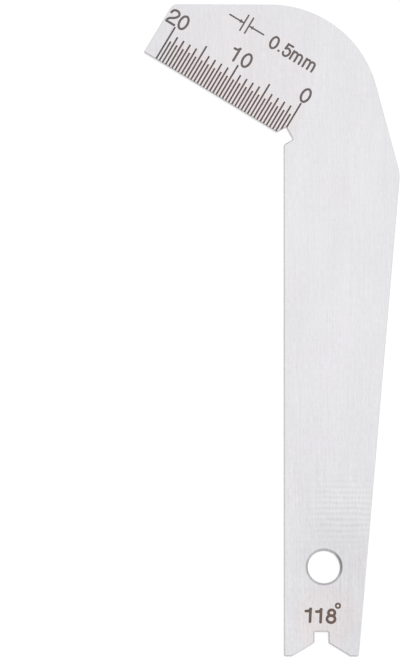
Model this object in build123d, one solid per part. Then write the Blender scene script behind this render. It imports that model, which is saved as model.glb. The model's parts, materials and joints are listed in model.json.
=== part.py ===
from build123d import *
import math
import os

# Sheet stock, in millimetres and degrees. Sketch X = 0 is the straight edge that the drill lies
# along, and sketch Y = 0 is the corner where that edge and the scale edge would meet.
thickness = 2.0
edge_break = 0.12

# Measuring angle: the drill's lip lies on the scale edge at half of its point angle
point_angle = 118.0
lip_angle = point_angle / 2
arm_length = 22.25
arm_tip_radius = 0.2
arm_top_radius = 1.1

# Back of the gauge: top edge, round crown, leaning shoulder, hip and tapering tail
head_height = 18.0
crown_radius = 14.85
shoulder_lean = 15.1
hip_width = 15.8
hip_drop = 5.0
hip_radius = 5.0
tail_length = 70.74
tail_width = 10.15
tail_corner_radius = 0.3

# Relief slots, which keep a drill's corner and tip clear of the inside corners
relief_width = 1.95
corner_relief_depth = 0.9
tip_relief_depth = 0.95
relief_radius = 0.2

# Point notch in the tail's end, with a flat land left on each side
tail_land = 1.1
notch_mouth_radius = 0.3

# Hanging hole
hole_diameter = 4.4
hole_chamfer = 0.32
hole_from_straight_edge = 5.42
hole_from_tail_end = 12.13

# Engraved scale: one line each half millimetre, longer at each millimetre and each fifth
scale_length = 20.0
scale_division = 0.5
divisions_per_unit = 2
divisions_per_five = 10
zero_from_corner = 0.34
half_line_length = 3.1
unit_line_length = 4.1
five_line_length = 5.1
line_width = 0.24
line_depth = 0.05
line_run_out = 0.5


def outline_corners():
    """Each sharp corner of the outline with the radius that rounds it, clockwise from the arm's
    tip over the crown, down the back to the tail and up to the inside corner."""
    arm_direction = Vector(0, 1).rotate(Axis.Z, lip_angle)
    arm_across = arm_direction.rotate(Axis.Z, -90)
    arm_tip = arm_direction * arm_length
    arm_top = arm_tip + arm_across * ((head_height - arm_tip.Y) / arm_across.Y)
    shoulder_run = (head_height + hip_drop) * math.tan(math.radians(shoulder_lean))
    crown = Vector(hip_width - shoulder_run, head_height)
    hip = Vector(hip_width, -hip_drop)
    corners = [
        (arm_tip, arm_tip_radius),
        (arm_top, arm_top_radius),
        (crown, crown_radius),
        (hip, hip_radius),
    ]
    return corners + tail_corners() + corner_relief_corners(arm_direction)


def tail_corners():
    """The tail's end with its point notch and the slot at the notch's apex."""
    centre = tail_width / 2
    half_slot = relief_width / 2
    slope = 1 / math.tan(math.radians(lip_angle))
    apex = -tail_length + (centre - tail_land) * slope
    slot_foot = apex - half_slot * slope
    slot_top = apex + tip_relief_depth
    return [
        (Vector(tail_width, -tail_length), tail_corner_radius),
        (Vector(tail_width - tail_land, -tail_length), notch_mouth_radius),
        (Vector(centre + half_slot, slot_foot), relief_radius),
        (Vector(centre + half_slot, slot_top), relief_radius),
        (Vector(centre - half_slot, slot_top), relief_radius),
        (Vector(centre - half_slot, slot_foot), relief_radius),
        (Vector(tail_land, -tail_length), notch_mouth_radius),
        (Vector(0, -tail_length), tail_corner_radius),
    ]


def corner_relief_corners(arm_direction):
    """The square slot cut into the inside corner, along the middle of the measuring angle."""
    half_slot = relief_width / 2
    inward = Vector(1, 0).rotate(Axis.Z, lip_angle / 2)
    across = inward.rotate(Axis.Z, 90) * half_slot
    floor = inward * corner_relief_depth
    mouth = half_slot / math.cos(math.radians(lip_angle / 2))
    return [
        (Vector(0, -mouth), relief_radius),
        (floor - across, relief_radius),
        (floor + across, relief_radius),
        (arm_direction * mouth, relief_radius),
    ]


def sheet_blank():
    """The flat blank with its hanging hole, deburred along every edge of both faces."""
    corners = outline_corners()
    points = [point for point, _ in corners]
    radii = [radius for _, radius in corners]
    profile = make_face(FilletPolyline(*points, radius=radii, close=True))
    blank = extrude(profile, thickness)
    faces = blank.faces().filter_by(Axis.Z)
    blank = chamfer(faces.edges(), edge_break)
    hole_place = Pos(hole_from_straight_edge, hole_from_tail_end - tail_length)
    blank -= hole_place * extrude(Circle(hole_diameter / 2), thickness)
    rims = blank.edges().filter_by(GeomType.CIRCLE)
    rims = rims.filter_by(lambda edge: abs(edge.radius - hole_diameter / 2) < edge_break)
    return chamfer(rims.filter_by(lambda edge: edge.is_closed), hole_chamfer)


def scale_lines():
    """The engraved lines, square to the scale edge and open at it."""
    face = Plane((0, 0, thickness), x_dir=Vector(0, -1).rotate(Axis.Z, lip_angle), z_dir=(0, 0, 1))
    lines = Sketch()
    for count in range(round(scale_length / scale_division) + 1):
        length = half_line_length
        if count % divisions_per_unit == 0:
            length = unit_line_length
        if count % divisions_per_five == 0:
            length = five_line_length
        place = Pos(-zero_from_corner - count * scale_division, (length - line_run_out) / 2)
        lines += place * Rectangle(line_width, length + line_run_out)
    return extrude(face * lines, -line_depth)


def gauge_plate():
    """The finished gauge, engraved face up, with its origin under the middle of its outline."""
    plate = sheet_blank() - scale_lines()
    middle = plate.bounding_box().center()
    plate = Pos(-middle.X, -middle.Y) * plate
    plate.label = "gauge_plate"
    return plate


os.makedirs("parts", exist_ok=True)
export_step(gauge_plate(), "parts/gauge_plate.step")
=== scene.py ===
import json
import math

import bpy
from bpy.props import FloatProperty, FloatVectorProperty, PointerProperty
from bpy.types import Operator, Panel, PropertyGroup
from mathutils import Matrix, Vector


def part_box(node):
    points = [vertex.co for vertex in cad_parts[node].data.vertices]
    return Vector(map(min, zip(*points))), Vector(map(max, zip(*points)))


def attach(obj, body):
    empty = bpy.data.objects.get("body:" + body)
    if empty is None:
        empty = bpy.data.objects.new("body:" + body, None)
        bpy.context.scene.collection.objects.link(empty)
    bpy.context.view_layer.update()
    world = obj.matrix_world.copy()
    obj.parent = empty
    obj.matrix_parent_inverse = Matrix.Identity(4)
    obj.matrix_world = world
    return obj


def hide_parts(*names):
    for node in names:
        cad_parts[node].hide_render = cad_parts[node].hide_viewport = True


bl_info = {
    "name": "Drill Grinding Gauge",
    "version": (1, 0, 0),
    "blender": (4, 5, 0),
    "location": "3D Viewport > Sidebar > Gauge",
    "description": "Brushes and engraves a drill grinding gauge, and lays it on a studio floor",
    "category": "Object",
}

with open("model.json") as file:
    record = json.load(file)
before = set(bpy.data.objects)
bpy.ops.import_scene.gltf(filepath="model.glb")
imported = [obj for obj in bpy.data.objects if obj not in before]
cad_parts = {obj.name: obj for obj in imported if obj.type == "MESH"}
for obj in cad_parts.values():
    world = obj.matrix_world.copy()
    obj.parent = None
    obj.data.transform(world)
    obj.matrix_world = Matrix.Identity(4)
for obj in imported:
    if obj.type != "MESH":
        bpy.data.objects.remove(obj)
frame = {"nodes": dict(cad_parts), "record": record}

MM = 0.001
PLATE_NODE = "gauge_plate"
PLATE_PIECE = "gauge_plate_finished"

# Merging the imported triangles, and the angle above which an edge of the plate stays crisp
MERGE_DISTANCE = 1e-6
CRISP_ANGLE = math.radians(30)

# How far the pen's solids stand above the face that they cut, and how finely they are divided
PEN_CLEARANCE = 0.1 * MM
PEN_SIDES = 20
STEPS_PER_SPAN = 8
RING_SIDES = 48
ARROW_SLENDERNESS = 1.5

# Telling the plate's faces apart: how level a flat face and how upright a wall is, how far from the
# engraved face the marks reach, in depths, and how far from the hole its rim does, in its radii
FLAT_LEVEL = 0.999
UPRIGHT_LEVEL = 0.02
MARK_REACH = 1.2
MARK_FLOOR = 0.2
RIM_REACH = 1.5

# Material slots of the finished plate
FACE, EDGE, WALL, RIM, MARK = range(5)

# Faint tints that drift over the brushed faces, and the sides of the hole's rim painted with shade
GREENISH = (0.984, 1.005, 0.996)
MAUVE = (1.012, 0.993, 1.007)
RIM_SHADED_SIDE = (0.99, 0.14, 0)
RIM_LOWER_SHADED_SIDE = (0.17, -0.98, 0)

# Layers of brushed streaks: the cell in grain widths or lengths, its detail and its share
GRAIN_LAYERS = (
    (("width", 1), ("length", 1), 2.0, 0.58),
    (("width", 0.9), ("length", 4), 2.0, 0.4),
    (("width", 1.3), ("length", 16), 1.0, 0.3),
    (("length", 3), ("width", 1.1), 1.0, 0.14),
)
GRAIN_BUMP = 0.004 * MM
GRAIN_BUMP_STRENGTH = 0.5
GRAIN_ROUGHNESS = 0.1
SLOW_CELL = (6 * MM, 15 * MM, 6 * MM)
SLOW_SHARE = 0.045
TINT_SCALE = 170.0

# Round areas of the engraved face: the offset of each from the hanging hole, and its inner and
# outer radius, in millimetres. In turn: chatter ripples, fine bright scratches, steel that is
# rubbed bright, steel that is dull round the hole, and two areas with a warm tint round the marks.
RIPPLE_SPOT = ((2.8, 7.6, 0), 2.0, 6.8)
RIPPLE_PITCH = 0.76 * MM
SCRATCH_SPOT = ((-3.0, 4.0, 0), 4.0, 14.0)
SCRATCH_CELL = (0.16 * MM, 2.2 * MM, MM)
RUBBED_SPOT = ((-23.0, -1.0, 0), 15.0, 25.0)
DULL_SPOT = ((0.8, 1.8, 0), 3.0, 8.5)
ANGLE_SPOT = ((0.2, -6.9, 0), 2.8, 5.4)
SCALE_SPOT = ((-11.4, 67.0, 0), 7.5, 12.0)
WARMED = (1.03, 0.945, 0.922)

# How much each area lightens or darkens the steel, and the noise levels that make a scratch
RIPPLE_SHARE = 0.04
SCRATCH_SHARE = 0.05
SCRATCH_LEVELS = (0.3, 0.6)
RUBBED_SHARE = 0.06
DULL_SHARE = -0.03

# The warm tint is full between the scale's lines and fades out over these distances from the scale
# edge. Round the numbers it has a small share, and round the point angle so many times that.
WARM_LINES = (4.6 * MM, 2.8 * MM)
WARM_AROUND = 0.18
WARM_ANGLE = 3.0

# The direction from the hole in which the tail's end grows brighter
BRIGHT_END = (-0.35, -0.94, 0)
BRIGHT_REACH = (6.5 * MM, 10.0 * MM)
BRIGHT_SHARE = 0.035

# The hole's rim: the fineness and strength of its turned rings, and its two patches of painted shade,
# each with its side, where it starts in radii, and its share of the rim's painted shade
RIM_CELL = (0.6 * MM, 0.6 * MM, 0.03 * MM)
RIM_SHARE = 0.25
RIM_PAINTED_SHADES = ((RIM_SHADED_SIDE, 0.68, 1.0), (RIM_LOWER_SHADED_SIDE, 0.5, 0.4))
RIM_SHADE_END = 1.08
RIM_ROUGHNESS = 0.33

# The rubbed edges, and the cut wall of the sheet
EDGE_CELL = (0.5 * MM, 0.5 * MM, 0.06 * MM)
EDGE_SHARE = 0.1
EDGE_ROUGHNESS = 0.26
WALL_CELL = (0.09 * MM, 0.09 * MM, 1.5 * MM)
WALL_SHARE = 0.22
WALL_TONE = 0.97
WALL_BUMP = 0.006 * MM
WALL_BUMP_STRENGTH = 0.6
WALL_ROUGHNESS = 0.42

# The engraved floors: mottled, and lighter beyond the scale's longest lines
MARK_CELL = (0.12 * MM, 0.12 * MM, 0.12 * MM)
MARK_SHARE = 0.5
MARK_TONE = 0.75
LABEL_REACH = (5.15 * MM, 5.25 * MM)
LABEL_SHARE = 0.25
MARK_BUMP = 0.01 * MM
MARK_BUMP_STRENGTH = 0.4
MARK_ROUGHNESS = 0.6

# The studio: the floor's level and its own colour as it lights the gauge from below, and where
# the surround is darkest for mirrors
FLOOR_LEVEL = -0.01 * MM
FLOOR_BOUNCE = 0.8
DARK_DIRECTION = (-0.55, -0.83, -0.25)
DARK_REACH = 0.9

# Pen strokes of each character, in cap heights, with the middle of its foot at the origin.
# A ring is its centre and its half sizes; a line or a curve runs through its points.
GLYPHS = {
    "0": [("ring", (0, 0.5), (0.295, 0.5))],
    "1": [
        ("line", (0, 0), (0, 1)),
        ("curve", (-0.36, 0.81), (-0.17, 0.83), (-0.05, 0.9), (0.02, 1)),
    ],
    "2": [
        ("curve", (-0.31, 0.7), (-0.26, 0.87), (-0.02, 1), (0.22, 0.93), (0.29, 0.76), (0.22, 0.6),
         (0.1, 0.47), (-0.26, 0.22), (-0.33, 0)),
        ("line", (-0.33, 0), (0.33, 0)),
    ],
    "5": [
        ("line", (0.23, 1), (-0.2, 1), (-0.245, 0.56)),
        ("curve", (-0.245, 0.56), (-0.04, 0.67), (0.19, 0.56), (0.24, 0.34), (0.15, 0.1), (-0.06, 0),
         (-0.22, 0.09), (-0.265, 0.22)),
    ],
    "8": [
        ("ring", (0.03, 0.765), (0.25, 0.235)),
        ("ring", (0, 0.28), (0.315, 0.28)),
    ],
    "m": [
        ("line", (-0.42, 0.02), (-0.42, 0.75)),
        ("curve", (-0.42, 0.56), (-0.32, 0.71), (-0.17, 0.74), (-0.04, 0.66), (0, 0.5), (0, 0.02)),
        ("curve", (0, 0.56), (0.1, 0.71), (0.25, 0.74), (0.38, 0.66), (0.42, 0.5), (0.42, 0.02)),
    ],
    "degree": [("ring", (0, 1.34), (0.17, 0.17))],
}

# Places along the scale edge, in millimetres from the corner where it would meet the straight edge
ZERO_PLACE = 0.34
NUMBER_SPACING = 1.565
NUMBER_SHIFT = 0.115

# The scale's numbers: each with its value and its drift from the common foot line
NUMBERS = (("0", 0, 0.07), ("10", 10, -0.01), ("20", 20, -0.04))


class GaugeFinish(PropertyGroup):
    """Colours and grain of the brushed sheet steel."""

    steel: FloatVectorProperty(
        name="Steel", description="Colour of the brushed faces",
        subtype="COLOR", min=0, max=1, default=(0.7985, 0.79, 0.8095))
    edge: FloatVectorProperty(
        name="Edge", description="Colour of the deburred edges and of the sheet's cut edge",
        subtype="COLOR", min=0, max=1, default=(0.77, 0.762, 0.776))
    rim: FloatVectorProperty(
        name="Hole rim", description="Colour of the hanging hole's wall and countersinks",
        subtype="COLOR", min=0, max=1, default=(0.86, 0.85, 0.865))
    # Painted shade: how much darker one side of the hole's rim is painted
    rim_painted_shade: FloatProperty(
        name="Rim painted shade",
        description="How dark the hole's wall and countersinks are on their side with painted shade",
        subtype="FACTOR", min=0, max=1, default=0.5)
    mark: FloatVectorProperty(
        name="Mark", description="Colour of the engraved lines and characters",
        subtype="COLOR", min=0, max=1, default=(0.155, 0.126, 0.122))
    scorched: FloatVectorProperty(
        name="Scorched mark",
        description="Colour of the point angle's characters, which are browner than the other marks",
        subtype="COLOR", min=0, max=1, default=(0.2, 0.132, 0.11))
    roughness: FloatProperty(
        name="Roughness", description="Roughness of the brushed faces",
        subtype="FACTOR", min=0, max=1, default=0.4)
    grain_width: FloatProperty(
        name="Grain width", description="Width of one brushed streak",
        unit="LENGTH", min=0.01 * MM, default=0.2 * MM)
    grain_length: FloatProperty(
        name="Grain length", description="Length of the shortest brushed streaks",
        unit="LENGTH", min=0.1 * MM, default=0.9 * MM)
    grain_contrast: FloatProperty(
        name="Grain contrast", description="How much the streaks lighten and darken the steel",
        subtype="FACTOR", min=0, max=1, default=0.33)


class GaugeMarks(PropertyGroup):
    """Sizes of the engraved numbers, the pitch symbol and the angle."""

    depth: FloatProperty(
        name="Depth", description="Depth of the engraved characters",
        unit="LENGTH", min=0.01 * MM, default=0.05 * MM)
    number_height: FloatProperty(
        name="Number height", description="Height of the pen's path in the scale's numbers",
        unit="LENGTH", default=1.88 * MM)
    number_pen: FloatProperty(
        name="Number pen", description="Stroke width of the scale's numbers",
        unit="LENGTH", default=0.32 * MM)
    number_foot: FloatProperty(
        name="Number foot", description="Distance from the scale edge to the foot of its numbers",
        unit="LENGTH", default=5.3 * MM)
    pitch_height: FloatProperty(
        name="Pitch height", description="Height of the pen's path in the note on the scale's pitch",
        unit="LENGTH", default=1.66 * MM)
    pitch_pen: FloatProperty(
        name="Pitch pen", description="Stroke width of the note on the scale's pitch",
        unit="LENGTH", default=0.3 * MM)
    pitch_foot: FloatProperty(
        name="Pitch foot", description="Distance from the scale edge to the foot of the pitch note",
        unit="LENGTH", default=9.46 * MM)
    symbol_pen: FloatProperty(
        name="Symbol pen", description="Stroke width of the pitch symbol's lines and arrows",
        unit="LENGTH", default=0.22 * MM)
    angle_height: FloatProperty(
        name="Angle height", description="Height of the pen's path in the point angle",
        unit="LENGTH", default=1.74 * MM)
    angle_pen: FloatProperty(
        name="Angle pen", description="Stroke width of the point angle",
        unit="LENGTH", default=0.38 * MM)
    angle_place: FloatVectorProperty(
        name="Angle place", description="Foot of the point angle, from the corner of the two edges",
        unit="LENGTH", size=2, default=(4.92 * MM, -66.12 * MM))
    angle_lean: FloatProperty(
        name="Angle lean", description="How far the point angle is turned clockwise",
        unit="ROTATION", default=math.radians(2.5))


class GaugeStage(PropertyGroup):
    """Camera, lamps and floor."""

    tilt_left: FloatProperty(
        name="Tilt left", description="How far the camera stands to the left of square",
        unit="ROTATION", default=math.radians(2.7))
    tilt_down: FloatProperty(
        name="Tilt down", description="How far the camera stands below square",
        unit="ROTATION", default=math.radians(4.3))
    distance: FloatProperty(
        name="Camera distance", description="Distance from the camera to the gauge",
        unit="LENGTH", default=2.2)
    view_height: FloatProperty(
        name="View height", description="Height of the picture at the gauge",
        unit="LENGTH", default=89.48 * MM)
    view_centre: FloatVectorProperty(
        name="View centre", description="Middle of the picture, on the gauge's engraved face",
        unit="LENGTH", size=2, default=(-9.805 * MM, 0.0 * MM))
    floor_size: FloatProperty(
        name="Floor size", description="Width of the square floor",
        unit="LENGTH", default=4.0)
    floor_glow: FloatProperty(
        name="Floor glow", description="Brightness of the white floor where it lies in full shadow",
        subtype="FACTOR", min=0, max=1, default=0.88)
    floor_shade: FloatProperty(
        name="Floor shade", description="How much the light on the floor adds to its brightness",
        subtype="FACTOR", min=0, max=1, default=0.2)
    key_power: FloatProperty(
        name="Key power", description="Power of the soft lamp over the gauge's head",
        min=0, default=0.045)
    key_size: FloatProperty(
        name="Key size", description="Width of the soft lamp",
        unit="LENGTH", default=0.12)
    key_place: FloatVectorProperty(
        name="Key place", description="Where the soft lamp hangs",
        unit="LENGTH", subtype="XYZ", default=(0.03, 0.043, 0.32))
    sky: FloatProperty(
        name="Sky", description="Strength of the surrounding light on dull surfaces",
        min=0, default=0.95)
    shine: FloatProperty(
        name="Shine", description="Strength of the surrounding light that the steel mirrors",
        min=0, default=0.7)
    dark_side: FloatProperty(
        name="Dark side", description="How dark the studio's lower left is, as the steel mirrors it",
        subtype="FACTOR", min=0, max=1, default=0.35)


def mount(name):
    """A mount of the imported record, by its name."""
    return next(entry for entry in frame["record"]["mounts"] if entry["name"] == name)


def plate_top():
    """Height of the engraved face."""
    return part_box(PLATE_NODE)[1].z


def scale_corner():
    """The corner where the straight edge and the scale edge would meet, with the direction in which
    the scale is read and its angle."""
    straight = Vector(mount("straight_edge")["pos_m"])
    on_scale = Vector(mount("scale_edge")["pos_m"])
    outwards = Vector(mount("scale_edge")["axis"])
    reading = Vector((-outwards.y, outwards.x, 0))
    corner = on_scale + reading * ((straight.x - on_scale.x) / reading.x)
    return corner, math.atan2(reading.y, reading.x)


def select_only(item):
    """Selects one object alone and makes it active."""
    bpy.ops.object.select_all(action="DESELECT")
    item.select_set(True)
    bpy.context.view_layer.objects.active = item


def apply_modifier(kind, **settings):
    """Gives the active object a modifier and applies it."""
    bpy.ops.object.modifier_add(type=kind)
    item = bpy.context.object
    modifier = item.modifiers[-1]
    for name, value in settings.items():
        setattr(modifier, name, value)
    bpy.ops.object.modifier_apply(modifier=modifier.name)


def raise_path(height):
    """Extrudes the active object's edges upwards into a thin wall."""
    bpy.ops.object.mode_set(mode="EDIT")
    bpy.ops.mesh.select_all(action="SELECT")
    bpy.ops.mesh.extrude_region_move(TRANSFORM_OT_translate={"value": (0, 0, height)})
    bpy.ops.object.mode_set(mode="OBJECT")


def thicken_path(pen):
    """Makes the active thin wall as thick as the pen, with its faces outwards."""
    apply_modifier("SOLIDIFY", thickness=pen, offset=0, use_even_offset=True)
    bpy.ops.object.mode_set(mode="EDIT")
    bpy.ops.mesh.select_all(action="SELECT")
    bpy.ops.mesh.normals_make_consistent(inside=False)
    bpy.ops.object.mode_set(mode="OBJECT")


def pen_ring(centre, half_size, pen, height):
    """An oval stroke."""
    bpy.ops.mesh.primitive_circle_add(vertices=RING_SIDES, radius=1, fill_type="NOTHING")
    bpy.ops.object.mode_set(mode="EDIT")
    bpy.ops.mesh.select_all(action="SELECT")
    bpy.ops.transform.resize(value=(*half_size, 1), center_override=(0, 0, 0))
    bpy.ops.transform.translate(value=(*centre, 0))
    bpy.ops.object.mode_set(mode="OBJECT")
    raise_path(height)
    thicken_path(pen)
    return [bpy.context.object]


def pen_tip(point, pen, height):
    """The round end that the pen leaves at a point."""
    bpy.ops.mesh.primitive_cylinder_add(
        vertices=PEN_SIDES, radius=pen / 2, depth=height, location=(*point, height / 2))
    bpy.ops.object.transform_apply()
    return bpy.context.object


def pen_path(points, smooth, pen, height):
    """A stroke through the points, either straight from one to the next or in one smooth bend."""
    bpy.ops.curve.primitive_bezier_curve_add()
    bpy.ops.object.mode_set(mode="EDIT")
    bpy.ops.curve.select_all(action="SELECT")
    bpy.ops.curve.delete(type="VERT")
    for point in points:
        bpy.ops.curve.vertex_add(location=(*point, 0))
    bpy.ops.curve.select_all(action="SELECT")
    bpy.ops.curve.handle_type_set(type="AUTOMATIC" if smooth else "VECTOR")
    bpy.ops.object.mode_set(mode="OBJECT")
    bpy.context.object.data.resolution_u = STEPS_PER_SPAN
    bpy.ops.object.convert(target="MESH")
    raise_path(height)
    thicken_path(pen)
    wall = bpy.context.object
    round_points = [points[0], points[-1]] if smooth else points
    return [wall] + [pen_tip(point, pen, height) for point in round_points]


def pen_strokes(strokes, size, place, pen, height):
    """The solids of some strokes, enlarged to a size and moved to a place."""
    solids = []
    for kind, *points in strokes:
        if kind == "ring":
            centre, half_size = (Vector(point) * size for point in points)
            solids += pen_ring(centre + Vector(place), half_size, pen, height)
        else:
            path = [Vector(point) * size + Vector(place) for point in points]
            solids += pen_path(path, kind == "curve", pen, height)
    return solids


def arrow_head(tip, length, height):
    """A solid arrow head that points along X, to the right for a positive length."""
    radius = abs(length) / ARROW_SLENDERNESS
    bpy.ops.mesh.primitive_cylinder_add(
        vertices=3, radius=radius, depth=height, location=(0, 0, height / 2))
    head = bpy.context.object
    head.rotation_euler.z = -math.copysign(math.pi / 2, length)
    head.location = (tip[0] - math.copysign(radius, length), tip[1], height / 2)
    bpy.ops.object.transform_apply()
    return head


def engrave(plate, solids, place, turn, depth):
    """Turns a label's solids about its origin and cuts them into the plate, one after the other."""
    for solid in solids:
        solid.rotation_euler.z = turn
        solid.location = (place[0], place[1], plate_top() - depth)
        select_only(plate)
        apply_modifier("BOOLEAN", operation="DIFFERENCE", solver="MANIFOLD", object=solid)
        bpy.data.objects.remove(solid)


def number_solids(marks, height):
    """The scale's numbers, each centred on its line and a hair off the common foot line."""
    solids = []
    for text, value, drift in NUMBERS:
        middle = -(ZERO_PLACE + value) * MM - (len(text) - 1) * NUMBER_SHIFT * MM
        for count, character in enumerate(text):
            offset = (count - (len(text) - 1) / 2) * NUMBER_SPACING * MM
            place = (middle + offset, marks.number_foot + drift * MM)
            solids += pen_strokes(
                GLYPHS[character], marks.number_height, place, marks.number_pen, height)
    return solids


# The pitch note, in millimetres back from the corner along the scale edge
PITCH_CHARACTERS = (("0", 7.7), ("5", 5.59), ("m", 4.095), ("m", 2.09))
POINT_PLACE = 6.66
POINT_DIAMETER = 0.33
SYMBOL_LINES = (12.6, 11.84)
SYMBOL_LINE_FOOT = 9.3
SYMBOL_LINE_HEAD = 11.68
SYMBOL_ARROWS = ((14.85, 12.7, 0.52), (9.52, 11.7, -0.5))
SYMBOL_ARROW_LEVEL = 10.45


def pitch_solids(marks, height):
    """The note on the scale's pitch: two lines between arrows, and the words 0.5mm."""
    solids = []
    for character, place in PITCH_CHARACTERS:
        place = (-place * MM, marks.pitch_foot)
        solids += pen_strokes(GLYPHS[character], marks.pitch_height, place, marks.pitch_pen, height)
    point = (-POINT_PLACE * MM, marks.pitch_foot + POINT_DIAMETER / 2 * MM)
    solids.append(pen_tip(point, POINT_DIAMETER * MM, height))
    for place in SYMBOL_LINES:
        line = [Vector((-place, SYMBOL_LINE_FOOT)) * MM, Vector((-place, SYMBOL_LINE_HEAD)) * MM]
        solids += pen_path(line, False, marks.symbol_pen, height)
    for start, end, head in SYMBOL_ARROWS:
        shaft = [Vector((-start, SYMBOL_ARROW_LEVEL)) * MM, Vector((-end, SYMBOL_ARROW_LEVEL)) * MM]
        solids += pen_path(shaft, False, marks.symbol_pen, height)
        solids.append(arrow_head(shaft[1], head * MM, height))
    return solids


# Characters of the point angle, in millimetres from the middle of the label
ANGLE_CHARACTERS = (("1", -1.42), ("1", 0.02), ("8", 1.42))
DEGREE_PLACE = 2.28
DEGREE_PEN = 0.25


def angle_solids(marks, height):
    """The point angle on the tail, with its degree ring."""
    solids = []
    for character, place in ANGLE_CHARACTERS:
        solids += pen_strokes(
            GLYPHS[character], marks.angle_height, (place * MM, 0), marks.angle_pen, height)
    return solids + pen_strokes(
        GLYPHS["degree"], marks.angle_height, (DEGREE_PLACE * MM, 0), DEGREE_PEN * MM, height)


def copy_plate():
    """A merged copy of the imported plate, with its own mesh and no memory of the node."""
    select_only(frame["nodes"][PLATE_NODE])
    bpy.ops.object.duplicate()
    plate = bpy.context.object
    plate.name = PLATE_PIECE
    plate.data.name = PLATE_PIECE
    for key in list(plate.keys()):
        del plate[key]
    plate.parent = None
    bpy.ops.mesh.customdata_custom_splitnormals_clear()
    bpy.ops.object.mode_set(mode="EDIT")
    bpy.ops.mesh.select_all(action="SELECT")
    bpy.ops.mesh.remove_doubles(threshold=MERGE_DISTANCE)
    bpy.ops.object.mode_set(mode="OBJECT")
    return plate


def finish_of(face, top, depth, hole):
    """The material slot of a face, from its place and normal."""
    level = abs(face.normal.z)
    sunk = face.center.z > top - MARK_REACH * depth
    if level > FLAT_LEVEL:
        engraved = sunk and face.normal.z > 0 and face.center.z < top - MARK_FLOOR * depth
        return MARK if engraved else FACE
    reach = (face.center.xy - Vector(hole["pos_m"][:2])).length
    if reach < RIM_REACH * hole["dims"]["r_mm"] * MM:
        return RIM
    if level < UPRIGHT_LEVEL:
        return MARK if sunk else WALL
    return EDGE


def assign_finishes(plate, depth):
    """Gives each face of the plate the finish of its place."""
    top, hole = plate_top(), mount("hang_hole")
    finishes = [finish_of(face, top, depth, hole) for face in plate.data.polygons]
    bpy.ops.object.mode_set(mode="EDIT")
    bpy.ops.mesh.select_mode(type="FACE")
    for slot in range(len(plate.material_slots)):
        bpy.ops.mesh.select_all(action="DESELECT")
        bpy.ops.object.mode_set(mode="OBJECT")
        for face, finish in zip(plate.data.polygons, finishes):
            face.select = finish == slot
        bpy.ops.object.mode_set(mode="EDIT")
        plate.active_material_index = slot
        bpy.ops.object.material_slot_assign()
    bpy.ops.mesh.select_mode(type="VERT")
    bpy.ops.object.mode_set(mode="OBJECT")


def add_node(tree, kind, place=(0, 0), **values):
    """A shader node with some of its settings, or its inputs by name, set."""
    node = tree.nodes.new(kind)
    node.location = place
    for name, value in values.items():
        setattr(node, name, value)
    return node


def set_inputs(node, **values):
    """Sets a node's inputs, named with underscores for spaces."""
    for name, value in values.items():
        node.inputs[name.replace("_", " ")].default_value = value


def new_group(name, inputs, outputs):
    """An empty shader node group with its sockets, and its input and output nodes."""
    group = bpy.data.node_groups.new(name, "ShaderNodeTree")
    for socket, kind, default in inputs:
        made = group.interface.new_socket(socket, in_out="INPUT", socket_type=kind)
        made.default_value = default
    for socket, kind in outputs:
        group.interface.new_socket(socket, in_out="OUTPUT", socket_type=kind)
    entry = add_node(group, "NodeGroupInput", (-900, 0))
    leave = add_node(group, "NodeGroupOutput", (700, 0))
    return group, entry, leave


def streak_group():
    """Streaks of brushed or ground metal: long noise cells of one size, as a value about zero."""
    group, entry, leave = new_group(
        "Metal streaks",
        [("Cell", "NodeSocketVector", (MM, MM, MM)), ("Detail", "NodeSocketFloat", 3.0)],
        [("Streak", "NodeSocketFloat")])
    coordinate = add_node(group, "ShaderNodeTexCoord", (-900, 250))
    divide = add_node(group, "ShaderNodeVectorMath", (-650, 100), operation="DIVIDE")
    noise = add_node(group, "ShaderNodeTexNoise", (-400, 100))
    set_inputs(noise, Scale=1.0, Roughness=0.6)
    centred = add_node(group, "ShaderNodeMath", (-150, 100), operation="SUBTRACT")
    centred.inputs[1].default_value = 0.5
    doubled = add_node(group, "ShaderNodeMath", (100, 100), operation="MULTIPLY")
    doubled.inputs[1].default_value = 2.0
    group.links.new(coordinate.outputs["Object"], divide.inputs[0])
    group.links.new(entry.outputs["Cell"], divide.inputs[1])
    group.links.new(divide.outputs["Vector"], noise.inputs["Vector"])
    group.links.new(entry.outputs["Detail"], noise.inputs["Detail"])
    group.links.new(noise.outputs["Fac"], centred.inputs[0])
    group.links.new(centred.outputs[0], doubled.inputs[0])
    group.links.new(doubled.outputs[0], leave.inputs["Streak"])
    return group


def spot_group():
    """A round mask: one inside the inner radius about the centre, and nought outside the outer."""
    group, entry, leave = new_group(
        "Round spot",
        [("Centre", "NodeSocketVector", (0, 0, 0)), ("Inner", "NodeSocketFloat", MM),
         ("Outer", "NodeSocketFloat", 2 * MM)],
        [("Mask", "NodeSocketFloat")])
    coordinate = add_node(group, "ShaderNodeTexCoord", (-900, 250))
    reach = add_node(group, "ShaderNodeVectorMath", (-500, 150), operation="DISTANCE")
    mask = add_node(group, "ShaderNodeMapRange", (0, 100), interpolation_type="SMOOTHSTEP")
    set_inputs(mask, To_Min=1.0, To_Max=0.0)
    group.links.new(coordinate.outputs["Object"], reach.inputs[0])
    group.links.new(entry.outputs["Centre"], reach.inputs[1])
    group.links.new(reach.outputs["Value"], mask.inputs["Value"])
    group.links.new(entry.outputs["Inner"], mask.inputs["From Min"])
    group.links.new(entry.outputs["Outer"], mask.inputs["From Max"])
    group.links.new(mask.outputs["Result"], leave.inputs["Mask"])
    return group


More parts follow.
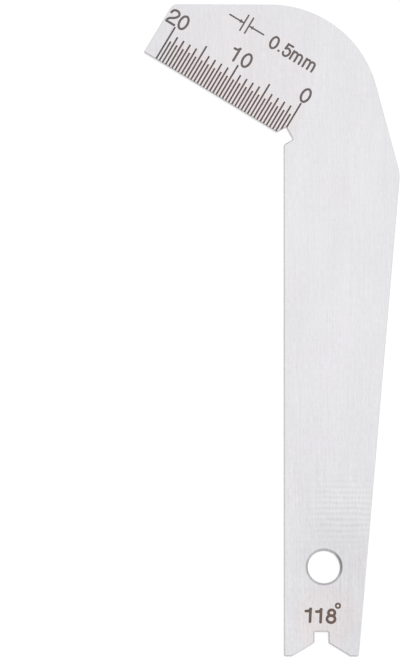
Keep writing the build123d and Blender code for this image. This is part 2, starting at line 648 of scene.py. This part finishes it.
def ramp_group():
    """A mask that rises from nought to one along a direction, from the first distance beyond an
    origin to the last."""
    group, entry, leave = new_group(
        "Side ramp",
        [("Origin", "NodeSocketVector", (0, 0, 0)), ("Direction", "NodeSocketVector", (1, 0, 0)),
         ("First", "NodeSocketFloat", 0.0), ("Last", "NodeSocketFloat", MM)],
        [("Mask", "NodeSocketFloat")])
    coordinate = add_node(group, "ShaderNodeTexCoord", (-900, 250))
    offset = add_node(group, "ShaderNodeVectorMath", (-650, 200), operation="SUBTRACT")
    reach = add_node(group, "ShaderNodeVectorMath", (-400, 150), operation="DOT_PRODUCT")
    mask = add_node(group, "ShaderNodeMapRange", (0, 100), interpolation_type="SMOOTHSTEP")
    group.links.new(coordinate.outputs["Object"], offset.inputs[0])
    group.links.new(entry.outputs["Origin"], offset.inputs[1])
    group.links.new(offset.outputs["Vector"], reach.inputs[0])
    group.links.new(entry.outputs["Direction"], reach.inputs[1])
    group.links.new(reach.outputs["Value"], mask.inputs["Value"])
    group.links.new(entry.outputs["First"], mask.inputs["From Min"])
    group.links.new(entry.outputs["Last"], mask.inputs["From Max"])
    group.links.new(mask.outputs["Result"], leave.inputs["Mask"])
    return group


def add_effect(tree, group, place, **values):
    """A placed group with its own values, and the socket that it puts out."""
    node = add_node(tree, "ShaderNodeGroup", place, node_tree=group)
    set_inputs(node, **values)
    return node.outputs[0]


def add_streaks(tree, effects, cell, detail, place):
    """The value of a placed streak group."""
    return add_effect(tree, effects["streaks"], place, Cell=cell, Detail=detail)


def add_spot(tree, effects, offset, inner, outer, place):
    """The mask of a round spot, with its offset from the hanging hole and its radii in millimetres."""
    centre = Vector(mount("hang_hole")["pos_m"]) + Vector(offset) * MM
    return add_effect(
        tree, effects["spot"], place, Centre=centre, Inner=inner * MM, Outer=outer * MM)


def add_ramp(tree, effects, origin, direction, first, last, place):
    """The mask of a ramp that starts from a mount."""
    return add_effect(
        tree, effects["ramp"], place, Origin=mount(origin)["pos_m"], Direction=direction,
        First=first, Last=last)


def add_math(tree, operation, first, second, place):
    """A Math node on a socket and a socket or number."""
    node = add_node(tree, "ShaderNodeMath", place, operation=operation)
    for socket, value in zip(node.inputs, (first, second)):
        if isinstance(value, (int, float)):
            socket.default_value = value
        else:
            tree.links.new(value, socket)
    return node.outputs[0]


def tinted(tree, colour, factor, place):
    """A colour multiplied by a value that changes over the surface."""
    scale = add_node(tree, "ShaderNodeVectorMath", place, operation="SCALE")
    scale.inputs[0].default_value = colour
    tree.links.new(factor, scale.inputs["Scale"])
    return scale.outputs["Vector"]


def new_material(name):
    """A material with its node tree and its Principled shader."""
    material = bpy.data.materials.new(name)
    material.use_nodes = True
    shader = material.node_tree.nodes["Principled BSDF"]
    return material, material.node_tree, shader


def add_bump(tree, shader, height, depth, strength):
    """Bump from a height value, a given depth in metres."""
    bump = add_node(tree, "ShaderNodeBump", (-250, -350))
    set_inputs(bump, Strength=strength, Distance=depth)
    tree.links.new(height, bump.inputs["Height"])
    tree.links.new(bump.outputs["Normal"], shader.inputs["Normal"])


def brushed_grain(tree, finish, effects):
    """Short, middling and long streaks along the gauge, with a few that cross them, as one value."""
    size = {"width": finish.grain_width, "length": finish.grain_length}
    grain = 0.0
    for count, ((across, wide), (along, long), detail, share) in enumerate(GRAIN_LAYERS):
        cell = (size[across] * wide, size[along] * long, size["width"])
        streak = add_streaks(tree, effects, cell, detail, (-1700, 400 - 200 * count))
        part = add_math(tree, "MULTIPLY", streak, share, (-1500, 400 - 200 * count))
        grain = add_math(tree, "ADD", part, grain, (-1300, 400 - 200 * count))
    return grain


def chatter_ripples(tree, level):
    """Fine waves across the gauge, as a chattering tool leaves them, from minus one to one."""
    coordinate = add_node(tree, "ShaderNodeTexCoord", (-1900, level))
    waves = add_node(tree, "ShaderNodeTexWave", (-1700, level), bands_direction="Y")
    set_inputs(waves, Scale=math.pi / 10 / RIPPLE_PITCH, Distortion=2.0, Detail=1.0, Detail_Scale=0.7)
    centred = add_node(tree, "ShaderNodeMapRange", (-1500, level))
    set_inputs(centred, To_Min=-1.0, To_Max=1.0)
    tree.links.new(coordinate.outputs["Object"], waves.inputs["Vector"])
    tree.links.new(waves.outputs["Fac"], centred.inputs["Value"])
    return centred.outputs["Result"]


def rubbed_tone(tree, effects):
    """How much the ripples, the scratches and the rubbed and dull areas lighten or darken the face."""
    scratches = add_node(tree, "ShaderNodeMapRange", (-1500, 900))
    set_inputs(scratches, From_Min=SCRATCH_LEVELS[0], From_Max=SCRATCH_LEVELS[1])
    tree.links.new(
        add_streaks(tree, effects, SCRATCH_CELL, 0.0, (-1700, 900)), scratches.inputs["Value"])
    tone = 0.0
    for value, area, share, level in (
        (chatter_ripples(tree, 1300), RIPPLE_SPOT, RIPPLE_SHARE, 1300),
        (scratches.outputs["Result"], SCRATCH_SPOT, SCRATCH_SHARE, 1000),
        (1.0, RUBBED_SPOT, RUBBED_SHARE, 700),
        (1.0, DULL_SPOT, DULL_SHARE, 1600),
    ):
        mask = add_spot(tree, effects, *area, (-1300, level))
        part = add_math(tree, "MULTIPLY", mask, value, (-1100, level))
        part = add_math(tree, "MULTIPLY", part, share, (-900, level))
        tone = add_math(tree, "ADD", part, tone, (-700, level))
    end = add_ramp(tree, effects, "hang_hole", BRIGHT_END, *BRIGHT_REACH, (-1300, 1900))
    end = add_math(tree, "MULTIPLY", end, BRIGHT_SHARE, (-900, 1900))
    return add_math(tree, "ADD", end, tone, (-550, 1500))


def warm_share(tree, effects):
    """How far each place has the warm tint: fully between the scale's lines, and less round the
    numbers and the point angle."""
    inwards = -Vector(mount("scale_edge")["axis"])
    head = add_spot(tree, effects, *SCALE_SPOT, (-1700, -1200))
    lines = add_ramp(tree, effects, "scale_edge", inwards, *WARM_LINES, (-1700, -1400))
    angle = add_spot(tree, effects, *ANGLE_SPOT, (-1700, -1650))
    between = add_math(tree, "MULTIPLY", head, lines, (-1500, -1300))
    angle = add_math(tree, "MULTIPLY", angle, WARM_ANGLE, (-1500, -1650))
    around = add_math(tree, "MAXIMUM", head, angle, (-1300, -1500))
    around = add_math(tree, "MULTIPLY", around, WARM_AROUND, (-1100, -1500))
    return add_math(tree, "MAXIMUM", between, around, (-900, -1300))


def shifted(colour, shift):
    """A colour with each channel multiplied by its own share, and no transparency."""
    return (*(channel * share for channel, share in zip(colour, shift)), 1)


def face_material(finish, effects):
    """Brushed steel: streaks along the gauge over a slow change of tone and tint."""
    material, tree, shader = new_material("Brushed steel face")
    grain = brushed_grain(tree, finish, effects)
    slow = add_streaks(tree, effects, SLOW_CELL, 2.0, (-1700, -450))
    slow = add_math(tree, "MULTIPLY", slow, SLOW_SHARE, (-1500, -450))
    tone = add_math(tree, "MULTIPLY", grain, finish.grain_contrast, (-900, 300))
    tone = add_math(tree, "ADD", tone, slow, (-700, 300))
    tone = add_math(tree, "ADD", tone, rubbed_tone(tree, effects), (-500, 300))
    tone = add_math(tree, "ADD", tone, 1.0, (-300, 300))
    coordinate = add_node(tree, "ShaderNodeTexCoord", (-1700, -900))
    patches = add_node(tree, "ShaderNodeTexNoise", (-1500, -900))
    set_inputs(patches, Scale=TINT_SCALE, Detail=1.0)
    tree.links.new(coordinate.outputs["Object"], patches.inputs["Vector"])
    tinge = add_node(tree, "ShaderNodeMix", (-900, -900), data_type="RGBA")
    tinge.inputs[6].default_value = shifted(finish.steel, GREENISH)
    tinge.inputs[7].default_value = shifted(finish.steel, MAUVE)
    tree.links.new(patches.outputs["Fac"], tinge.inputs["Factor"])
    warmed = add_node(tree, "ShaderNodeMix", (-600, -900), data_type="RGBA")
    warmed.inputs[7].default_value = shifted(finish.steel, WARMED)
    tree.links.new(warm_share(tree, effects), warmed.inputs["Factor"])
    tree.links.new(tinge.outputs[2], warmed.inputs[6])
    colour = add_node(tree, "ShaderNodeVectorMath", (-150, 200), operation="SCALE")
    tree.links.new(warmed.outputs[2], colour.inputs[0])
    tree.links.new(tone, colour.inputs["Scale"])
    tree.links.new(colour.outputs["Vector"], shader.inputs["Base Color"])
    rough = add_math(tree, "MULTIPLY", grain, GRAIN_ROUGHNESS, (-550, -50))
    rough = add_math(tree, "ADD", rough, finish.roughness, (-350, -50))
    tree.links.new(rough, shader.inputs["Roughness"])
    add_bump(tree, shader, grain, GRAIN_BUMP, GRAIN_BUMP_STRENGTH)
    set_inputs(shader, Metallic=1.0)
    return material


def edge_material(finish, effects):
    """The deburred edges: the same steel, rubbed smoother."""
    material, tree, shader = new_material("Rubbed steel edge")
    spots = add_streaks(tree, effects, EDGE_CELL, 2.0, (-1000, 0))
    tone = add_math(tree, "MULTIPLY", spots, EDGE_SHARE, (-700, 0))
    tone = add_math(tree, "ADD", tone, 1.0, (-500, 0))
    tree.links.new(tinted(tree, finish.edge, tone, (-250, 0)), shader.inputs["Base Color"])
    set_inputs(shader, Metallic=1.0, Roughness=EDGE_ROUGHNESS)
    return material


def wall_material(finish, effects):
    """The cut edge of the sheet, with fine lines across its thickness."""
    material, tree, shader = new_material("Cut steel wall")
    across = add_streaks(tree, effects, WALL_CELL, 3.0, (-1000, 100))
    tone = add_math(tree, "MULTIPLY", across, WALL_SHARE, (-700, 100))
    tone = add_math(tree, "ADD", tone, WALL_TONE, (-500, 100))
    tree.links.new(tinted(tree, finish.edge, tone, (-250, 100)), shader.inputs["Base Color"])
    add_bump(tree, shader, across, WALL_BUMP, WALL_BUMP_STRENGTH)
    set_inputs(shader, Metallic=1.0, Roughness=WALL_ROUGHNESS)
    return material


def rim_material(finish, effects):
    """The hanging hole's wall and countersinks as the tool left them, with shade painted on two sides.
    """
    material, tree, shader = new_material("Countersunk rim")
    rings = add_streaks(tree, effects, RIM_CELL, 2.0, (-1000, 0))
    tone = add_math(tree, "MULTIPLY", rings, RIM_SHARE, (-700, 0))
    tone = add_math(tree, "ADD", tone, 1.0, (-500, 0))
    radius = mount("hang_hole")["dims"]["r_mm"] * MM
    # Painted shade: the rim's colour is darkened on its right side and, less, on its lower side
    for count, (side, start, share) in enumerate(RIM_PAINTED_SHADES):
        level = -300 - 250 * count
        mask = add_ramp(
            tree, effects, "hang_hole", side, start * radius, RIM_SHADE_END * radius, (-1000, level))
        rim_shade = add_math(tree, "MULTIPLY", mask, -share * finish.rim_painted_shade, (-800, level))
        rim_shade = add_math(tree, "ADD", rim_shade, 1.0, (-600, level))
        tone = add_math(tree, "MULTIPLY", tone, rim_shade, (-400, level))
    tree.links.new(tinted(tree, finish.rim, tone, (-250, 0)), shader.inputs["Base Color"])
    set_inputs(shader, Metallic=1.0, Roughness=RIM_ROUGHNESS)
    return material


def mark_material(finish, effects):
    """The dark, matt floor of the engraved marks."""
    material, tree, shader = new_material("Dark engraving")
    mottle = add_streaks(tree, effects, MARK_CELL, 3.0, (-1000, 0))
    inwards = -Vector(mount("scale_edge")["axis"])
    labels = add_ramp(tree, effects, "scale_edge", inwards, *LABEL_REACH, (-1000, -600))
    lighter = add_math(tree, "MULTIPLY", labels, LABEL_SHARE, (-700, -600))
    tone = add_math(tree, "MULTIPLY", mottle, MARK_SHARE, (-700, 0))
    tone = add_math(tree, "ADD", tone, MARK_TONE, (-500, 0))
    tone = add_math(tree, "ADD", tone, lighter, (-350, 0))
    burnt = add_node(tree, "ShaderNodeMix", (-500, 250), data_type="RGBA")
    burnt.inputs[6].default_value = (*finish.mark, 1)
    burnt.inputs[7].default_value = (*finish.scorched, 1)
    tree.links.new(add_spot(tree, effects, *ANGLE_SPOT, (-1000, 300)), burnt.inputs["Factor"])
    colour = add_node(tree, "ShaderNodeVectorMath", (-250, 100), operation="SCALE")
    tree.links.new(burnt.outputs[2], colour.inputs[0])
    tree.links.new(tone, colour.inputs["Scale"])
    tree.links.new(colour.outputs["Vector"], shader.inputs["Base Color"])
    add_bump(tree, shader, mottle, MARK_BUMP, MARK_BUMP_STRENGTH)
    set_inputs(shader, Metallic=0.0, Roughness=MARK_ROUGHNESS)
    return material


def paint_plate(plate, finish, depth):
    """Replaces the plate's material with its finishes, in the order of their slots."""
    effects = {"streaks": streak_group(), "spot": spot_group(), "ramp": ramp_group()}
    makers = {
        FACE: face_material, EDGE: edge_material, WALL: wall_material, RIM: rim_material,
        MARK: mark_material}
    plate.data.materials.clear()
    for slot in sorted(makers):
        plate.data.materials.append(makers[slot](finish, effects))
    assign_finishes(plate, depth)


class OBJECT_OT_gauge_plate(Operator):
    """Engrave and brush the gauge's plate"""

    bl_idname = "object.gauge_plate"
    bl_label = "Gauge plate"
    bl_options = {"REGISTER", "UNDO"}

    def execute(self, context):
        marks = context.scene.gauge_marks
        height = marks.depth + PEN_CLEARANCE
        corner, reading = scale_corner()
        angle_foot = corner.xy + Vector(marks.angle_place)
        plate = copy_plate()
        engrave(plate, number_solids(marks, height), corner, reading, marks.depth)
        engrave(plate, pitch_solids(marks, height), corner, reading, marks.depth)
        engrave(plate, angle_solids(marks, height), angle_foot, -marks.angle_lean, marks.depth)
        if not plate.data.polygons:
            raise RuntimeError("The engraving left no plate.")
        paint_plate(plate, context.scene.gauge_finish, marks.depth)
        select_only(plate)
        bpy.ops.object.shade_smooth_by_angle(angle=CRISP_ANGLE)
        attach(plate, "root")
        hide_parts(PLATE_NODE)
        return {"FINISHED"}


def lay_floor(stage):
    """A plain white floor that glows for the camera and for mirrors, and still takes a shadow."""
    bpy.ops.mesh.primitive_plane_add(size=stage.floor_size, location=(0, 0, FLOOR_LEVEL))
    floor = bpy.context.object
    floor.name = "studio_floor"
    bpy.ops.object.transform_apply()
    material = bpy.data.materials.new("Studio floor")
    material.use_nodes = True
    tree = material.node_tree
    tree.nodes.clear()
    leave = add_node(tree, "ShaderNodeOutputMaterial", (600, 0))
    path = add_node(tree, "ShaderNodeLightPath", (-600, 300))
    seen = add_math(
        tree, "MAXIMUM", path.outputs["Is Camera Ray"], path.outputs["Is Glossy Ray"], (-350, 300))
    glow = add_node(tree, "ShaderNodeEmission", (-100, 200))
    glow.inputs["Color"].default_value = (1, 1, 1, 1)
    strength = add_math(tree, "MULTIPLY", seen, stage.floor_glow, (-200, 350))
    tree.links.new(strength, glow.inputs["Strength"])
    shaded = add_node(tree, "ShaderNodeBsdfDiffuse", (-100, -50))
    shaded.inputs["Color"].default_value = (stage.floor_shade,) * 3 + (1,)
    bounce = add_node(tree, "ShaderNodeBsdfDiffuse", (-100, -200))
    bounce.inputs["Color"].default_value = (FLOOR_BOUNCE,) * 3 + (1,)
    both = add_node(tree, "ShaderNodeAddShader", (100, 100))
    choice = add_node(tree, "ShaderNodeMixShader", (350, 0))
    tree.links.new(glow.outputs[0], both.inputs[0])
    tree.links.new(shaded.outputs[0], both.inputs[1])
    tree.links.new(seen, choice.inputs[0])
    tree.links.new(bounce.outputs[0], choice.inputs[1])
    tree.links.new(both.outputs[0], choice.inputs[2])
    tree.links.new(choice.outputs[0], leave.inputs["Surface"])
    floor.data.materials.append(material)


def light_world(stage):
    """A white surround: plain for the camera, and darker towards the lower left for mirrors."""
    world = bpy.data.worlds.new("Studio")
    bpy.context.scene.world = world
    world.use_nodes = True
    tree = world.node_tree
    background = tree.nodes["Background"]
    path = add_node(tree, "ShaderNodeLightPath", (-1200, 400))
    direction = add_node(tree, "ShaderNodeTexCoord", (-1200, 0))
    side = add_node(tree, "ShaderNodeVectorMath", (-950, 0), operation="DOT_PRODUCT")
    side.inputs[1].default_value = DARK_DIRECTION
    tree.links.new(direction.outputs["Generated"], side.inputs[0])
    dark = add_node(tree, "ShaderNodeMapRange", (-700, 0), interpolation_type="SMOOTHSTEP")
    darkest = stage.shine * (1 - stage.dark_side)
    set_inputs(dark, From_Min=0.0, From_Max=DARK_REACH, To_Min=stage.shine, To_Max=darkest)
    tree.links.new(side.outputs["Value"], dark.inputs["Value"])
    mirrored = add_math(tree, "SUBTRACT", dark.outputs["Result"], stage.sky, (-500, 0))
    mirrored = add_math(tree, "MULTIPLY", path.outputs["Is Glossy Ray"], mirrored, (-350, 100))
    straight, through = path.outputs["Is Camera Ray"], path.outputs["Is Transmission Ray"]
    seen = add_math(tree, "MAXIMUM", straight, through, (-700, 400))
    seen = add_math(tree, "MULTIPLY", seen, 1 - stage.sky, (-500, 400))
    strength = add_math(tree, "ADD", mirrored, seen, (-200, 250))
    strength = add_math(tree, "ADD", strength, stage.sky, (-50, 250))
    tree.links.new(strength, background.inputs["Strength"])
    background.inputs["Color"].default_value = (1, 1, 1, 1)


def hang_lamp(stage):
    """A soft square lamp over the gauge's head, so that the steel falls off towards the tail."""
    bpy.ops.object.light_add(type="AREA", location=stage.key_place)
    lamp = bpy.context.object
    lamp.name = "soft_lamp"
    lamp.data.size = stage.key_size
    lamp.data.energy = stage.key_power


def set_camera(stage):
    """A long lens, a little below and to the left of square on to the engraved face."""
    target = Vector((*stage.view_centre, plate_top()))
    back = Vector((-math.tan(stage.tilt_left), -math.tan(stage.tilt_down), 1)).normalized()
    right = Vector((0, 1, 0)).cross(back).normalized()
    turn = Matrix((right, back.cross(right), back)).transposed()
    bpy.ops.object.camera_add(location=target + back * stage.distance, rotation=turn.to_euler())
    camera = bpy.context.object
    camera.name = "studio_camera"
    camera.data.lens = camera.data.sensor_width * stage.distance / stage.view_height
    bpy.context.scene.camera = camera


class SCENE_OT_gauge_stage(Operator):
    """Lay the floor, hang the lamps and set up the camera"""

    bl_idname = "scene.gauge_stage"
    bl_label = "Gauge stage"
    bl_options = {"REGISTER", "UNDO"}

    def execute(self, context):
        stage = context.scene.gauge_stage
        lay_floor(stage)
        light_world(stage)
        hang_lamp(stage)
        set_camera(stage)
        context.scene.view_settings.view_transform = "Standard"
        return {"FINISHED"}


class VIEW3D_PT_gauge(Panel):
    """The gauge's pieces and their settings"""

    bl_idname = "VIEW3D_PT_gauge"
    bl_label = "Drill Grinding Gauge"
    bl_space_type = "VIEW_3D"
    bl_region_type = "UI"
    bl_category = "Gauge"

    def draw(self, context):
        scene = context.scene
        for settings in (scene.gauge_finish, scene.gauge_marks, scene.gauge_stage):
            box = self.layout.box()
            for name in settings.__annotations__:
                box.prop(settings, name)
        self.layout.operator(OBJECT_OT_gauge_plate.bl_idname)
        self.layout.operator(SCENE_OT_gauge_stage.bl_idname)


SETTINGS = {"gauge_finish": GaugeFinish, "gauge_marks": GaugeMarks, "gauge_stage": GaugeStage}
CLASSES = (*SETTINGS.values(), OBJECT_OT_gauge_plate, SCENE_OT_gauge_stage, VIEW3D_PT_gauge)


def register():
    for item in CLASSES:
        bpy.utils.register_class(item)
    for name, group in SETTINGS.items():
        setattr(bpy.types.Scene, name, PointerProperty(type=group))


def unregister():
    for name in SETTINGS:
        delattr(bpy.types.Scene, name)
    for item in reversed(CLASSES):
        bpy.utils.unregister_class(item)


def main():
    """Builds the finished gauge on its stage."""
    register()
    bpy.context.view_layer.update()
    bpy.ops.object.gauge_plate()
    bpy.ops.scene.gauge_stage()


if __name__ == "__main__":
    main()
